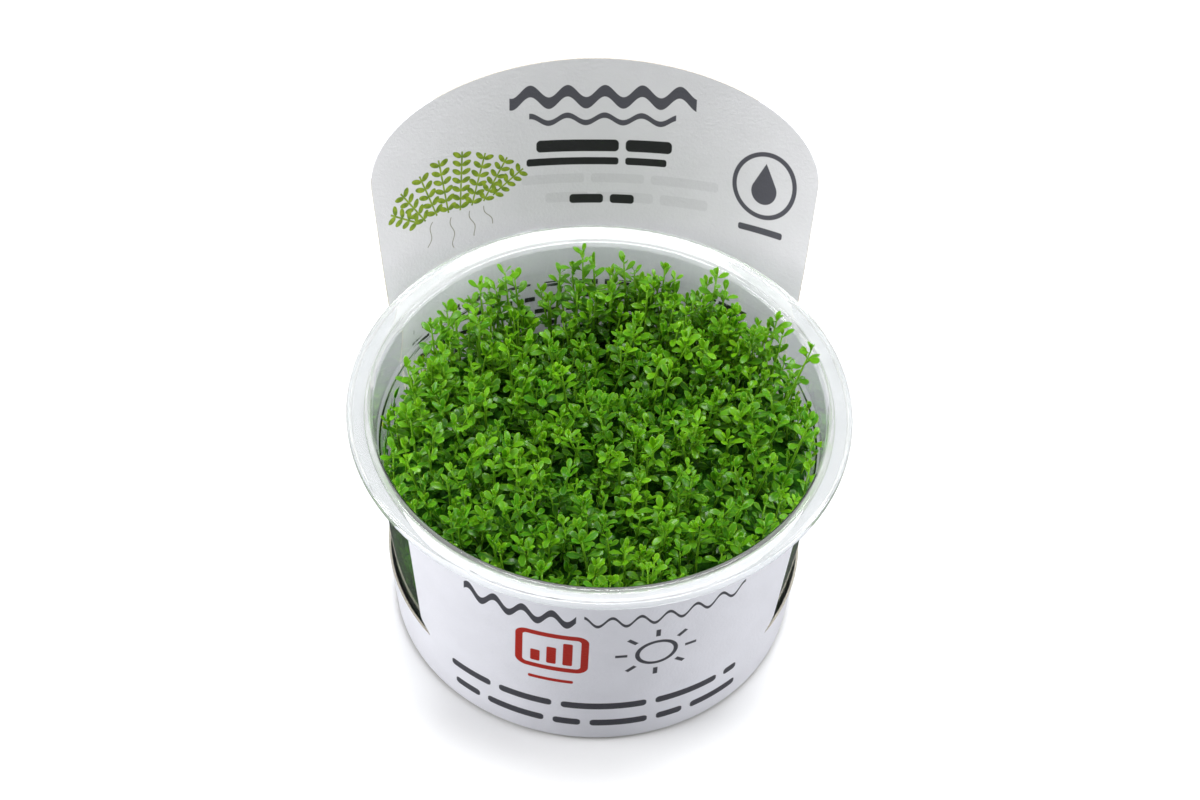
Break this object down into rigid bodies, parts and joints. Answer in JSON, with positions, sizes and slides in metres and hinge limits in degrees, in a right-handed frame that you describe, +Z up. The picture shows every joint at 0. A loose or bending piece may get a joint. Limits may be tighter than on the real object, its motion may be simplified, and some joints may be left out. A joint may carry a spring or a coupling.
{
  "type": "tissue culture dwarf baby tears",
  "caption": "Open clear culture cup with a printed card sleeve and tall header, filled with a dense mat of tiny-leaved bright green aquarium plants.",
  "frame": {"origin": "middle of the cup's underside, on the surface it stands on", "axes": "+Z up, +Y towards the card header at the back, -Y towards the printed front"},
  "size_m": [0.1, 0.1116, 0.0922],
  "materials": {
    "cup_plastic": "clear, glossy",
    "sleeve_card": "matt coated white card",
    "culture_gel": "clear, moist",
    "plants": "satin leaves"
  },
  "bodies": {
    "root": {"cup": "cup_plastic", "sleeve": "sleeve_card", "gel": "culture_gel", "tuft_01": "plants", "tuft_02": "plants", "tuft_03": "plants", "tuft_04": "plants", "tuft_05": "plants", "tuft_06": "plants", "tuft_07": "plants", "tuft_08": "plants", "tuft_09": "plants", "tuft_10": "plants", "tuft_11": "plants", "tuft_12": "plants", "tuft_13": "plants", "tuft_14": "plants", "tuft_15": "plants", "tuft_16": "plants", "tuft_17": "plants", "tuft_18": "plants", "tuft_19": "plants"}
  },
  "joints": []
}
